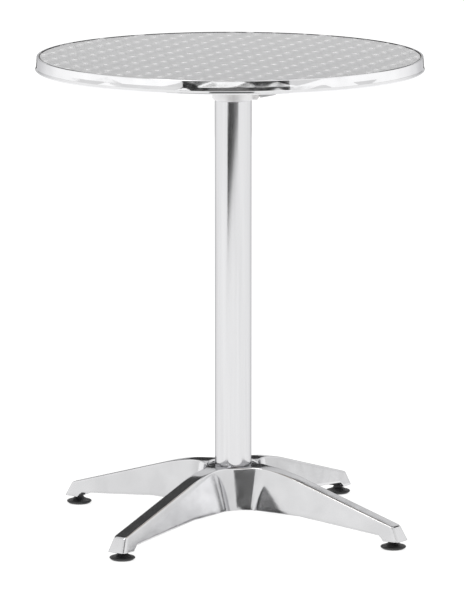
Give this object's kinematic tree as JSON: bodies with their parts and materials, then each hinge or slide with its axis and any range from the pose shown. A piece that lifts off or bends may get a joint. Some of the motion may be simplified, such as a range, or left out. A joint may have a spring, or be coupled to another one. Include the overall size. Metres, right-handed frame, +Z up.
{
  "type": "bistro table",
  "caption": "Round metal-clad flip-top bistro table on a tubular column with a cross-shaped cast base, a release lever under the top and screw-adjustable feet.",
  "frame": {"origin": "on the floor under the column's axis, within 5 mm of the centre of the bounding box's bottom", "axes": "+Z up along the column; +X from the column's axis towards the release lever; the tilt hinge is parallel to Y"},
  "size_m": [0.6, 0.6, 0.74],
  "materials": {
    "polished_casting": "polished cast aluminium",
    "satin_tube": "satin polished aluminium tube",
    "polished_band": "mirror polished aluminium",
    "swirled_sheet": "engine-turned aluminium sheet",
    "board": "raw fibreboard",
    "raw_casting": "as-cast aluminium",
    "zinc_steel": "zinc plated",
    "bright_lever": "bright plated steel",
    "black_plastic": "moulded black plastic",
    "black_rubber": "matt rubber",
    "white_nylon": "natural nylon",
    "spring_steel": "spring steel wire"
  },
  "bodies": {
    "stand": {"base_casting": "polished_casting", "column_tube": "satin_tube", "column_head": "raw_casting", "tie_rod": "zinc_steel", "top_nut": "zinc_steel", "top_washer": "zinc_steel", "base_nut": "zinc_steel", "base_washer": "zinc_steel", "hinge_bolt": "zinc_steel", "hinge_nut": "zinc_steel", "hinge_washer_left": "white_nylon", "hinge_washer_right": "white_nylon", "lever_pin": "zinc_steel", "latch_spring": "spring_steel", "rest_pad_left": "black_rubber", "rest_pad_right": "black_rubber"},
    "tabletop": {"top_sheet": "swirled_sheet", "core_board": "board", "edge_band": "polished_band", "top_bracket": "raw_casting", "bracket_screw_1": "zinc_steel", "bracket_screw_2": "zinc_steel", "bracket_screw_3": "zinc_steel", "bracket_screw_4": "zinc_steel", "bracket_screw_5": "zinc_steel", "bracket_screw_6": "zinc_steel", "bracket_screw_7": "zinc_steel", "bracket_screw_8": "zinc_steel"},
    "lever": {"release_lever": "bright_lever"},
    "foot_pad_1": {"foot_pad_1": "black_plastic"},
    "foot_stud_1": {"foot_stud_1": "zinc_steel"},
    "foot_pad_2": {"foot_pad_2": "black_plastic"},
    "foot_stud_2": {"foot_stud_2": "zinc_steel"},
    "foot_pad_3": {"foot_pad_3": "black_plastic"},
    "foot_stud_3": {"foot_stud_3": "zinc_steel"},
    "foot_pad_4": {"foot_pad_4": "black_plastic"},
    "foot_stud_4": {"foot_stud_4": "zinc_steel"}
  },
  "joints": [
    {"name": "top_tilt", "type": "hinge", "parent": "stand", "child": "tabletop", "pos_m": [-0.026, 0, 0.702], "axis": [0, -1, 0], "range_deg": [0, 90]},
    {"name": "lever_pull", "type": "hinge", "parent": "stand", "child": "lever", "pos_m": [0.027, 0, 0.69], "axis": [0, -1, 0], "range_deg": [0, 16], "stiffness_Nm_per_rad": 0.25, "springref_deg": -14.32, "deforming": ["latch_spring"]},
    {"name": "foot_travel_1", "type": "slide", "parent": "stand", "child": "foot_pad_1", "axis": [0, 0, -1], "range_m": [0, 0.01]},
    {"name": "foot_turn_1", "type": "hinge", "parent": "foot_pad_1", "child": "foot_stud_1", "pos_m": [0.21036, 0.21036, 0.018], "axis": [0, 0, -1], "range_deg": [0, 2880]},
    {"name": "foot_travel_2", "type": "slide", "parent": "stand", "child": "foot_pad_2", "axis": [0, 0, -1], "range_m": [0, 0.01]},
    {"name": "foot_turn_2", "type": "hinge", "parent": "foot_pad_2", "child": "foot_stud_2", "pos_m": [-0.21036, 0.21036, 0.018], "axis": [0, 0, -1], "range_deg": [0, 2880]},
    {"name": "foot_travel_3", "type": "slide", "parent": "stand", "child": "foot_pad_3", "axis": [0, 0, -1], "range_m": [0, 0.01]},
    {"name": "foot_turn_3", "type": "hinge", "parent": "foot_pad_3", "child": "foot_stud_3", "pos_m": [-0.21036, -0.21036, 0.018], "axis": [0, 0, -1], "range_deg": [0, 2880]},
    {"name": "foot_travel_4", "type": "slide", "parent": "stand", "child": "foot_pad_4", "axis": [0, 0, -1], "range_m": [0, 0.01]},
    {"name": "foot_turn_4", "type": "hinge", "parent": "foot_pad_4", "child": "foot_stud_4", "pos_m": [0.21036, -0.21036, 0.018], "axis": [0, 0, -1], "range_deg": [0, 2880]}
  ],
  "couplings": [
    {"joint": "foot_turn_1", "follows": "foot_travel_1", "rad_per_m": 5026.5},
    {"joint": "foot_turn_2", "follows": "foot_travel_2", "rad_per_m": 5026.5},
    {"joint": "foot_turn_3", "follows": "foot_travel_3", "rad_per_m": 5026.5},
    {"joint": "foot_turn_4", "follows": "foot_travel_4", "rad_per_m": 5026.5}
  ]
}
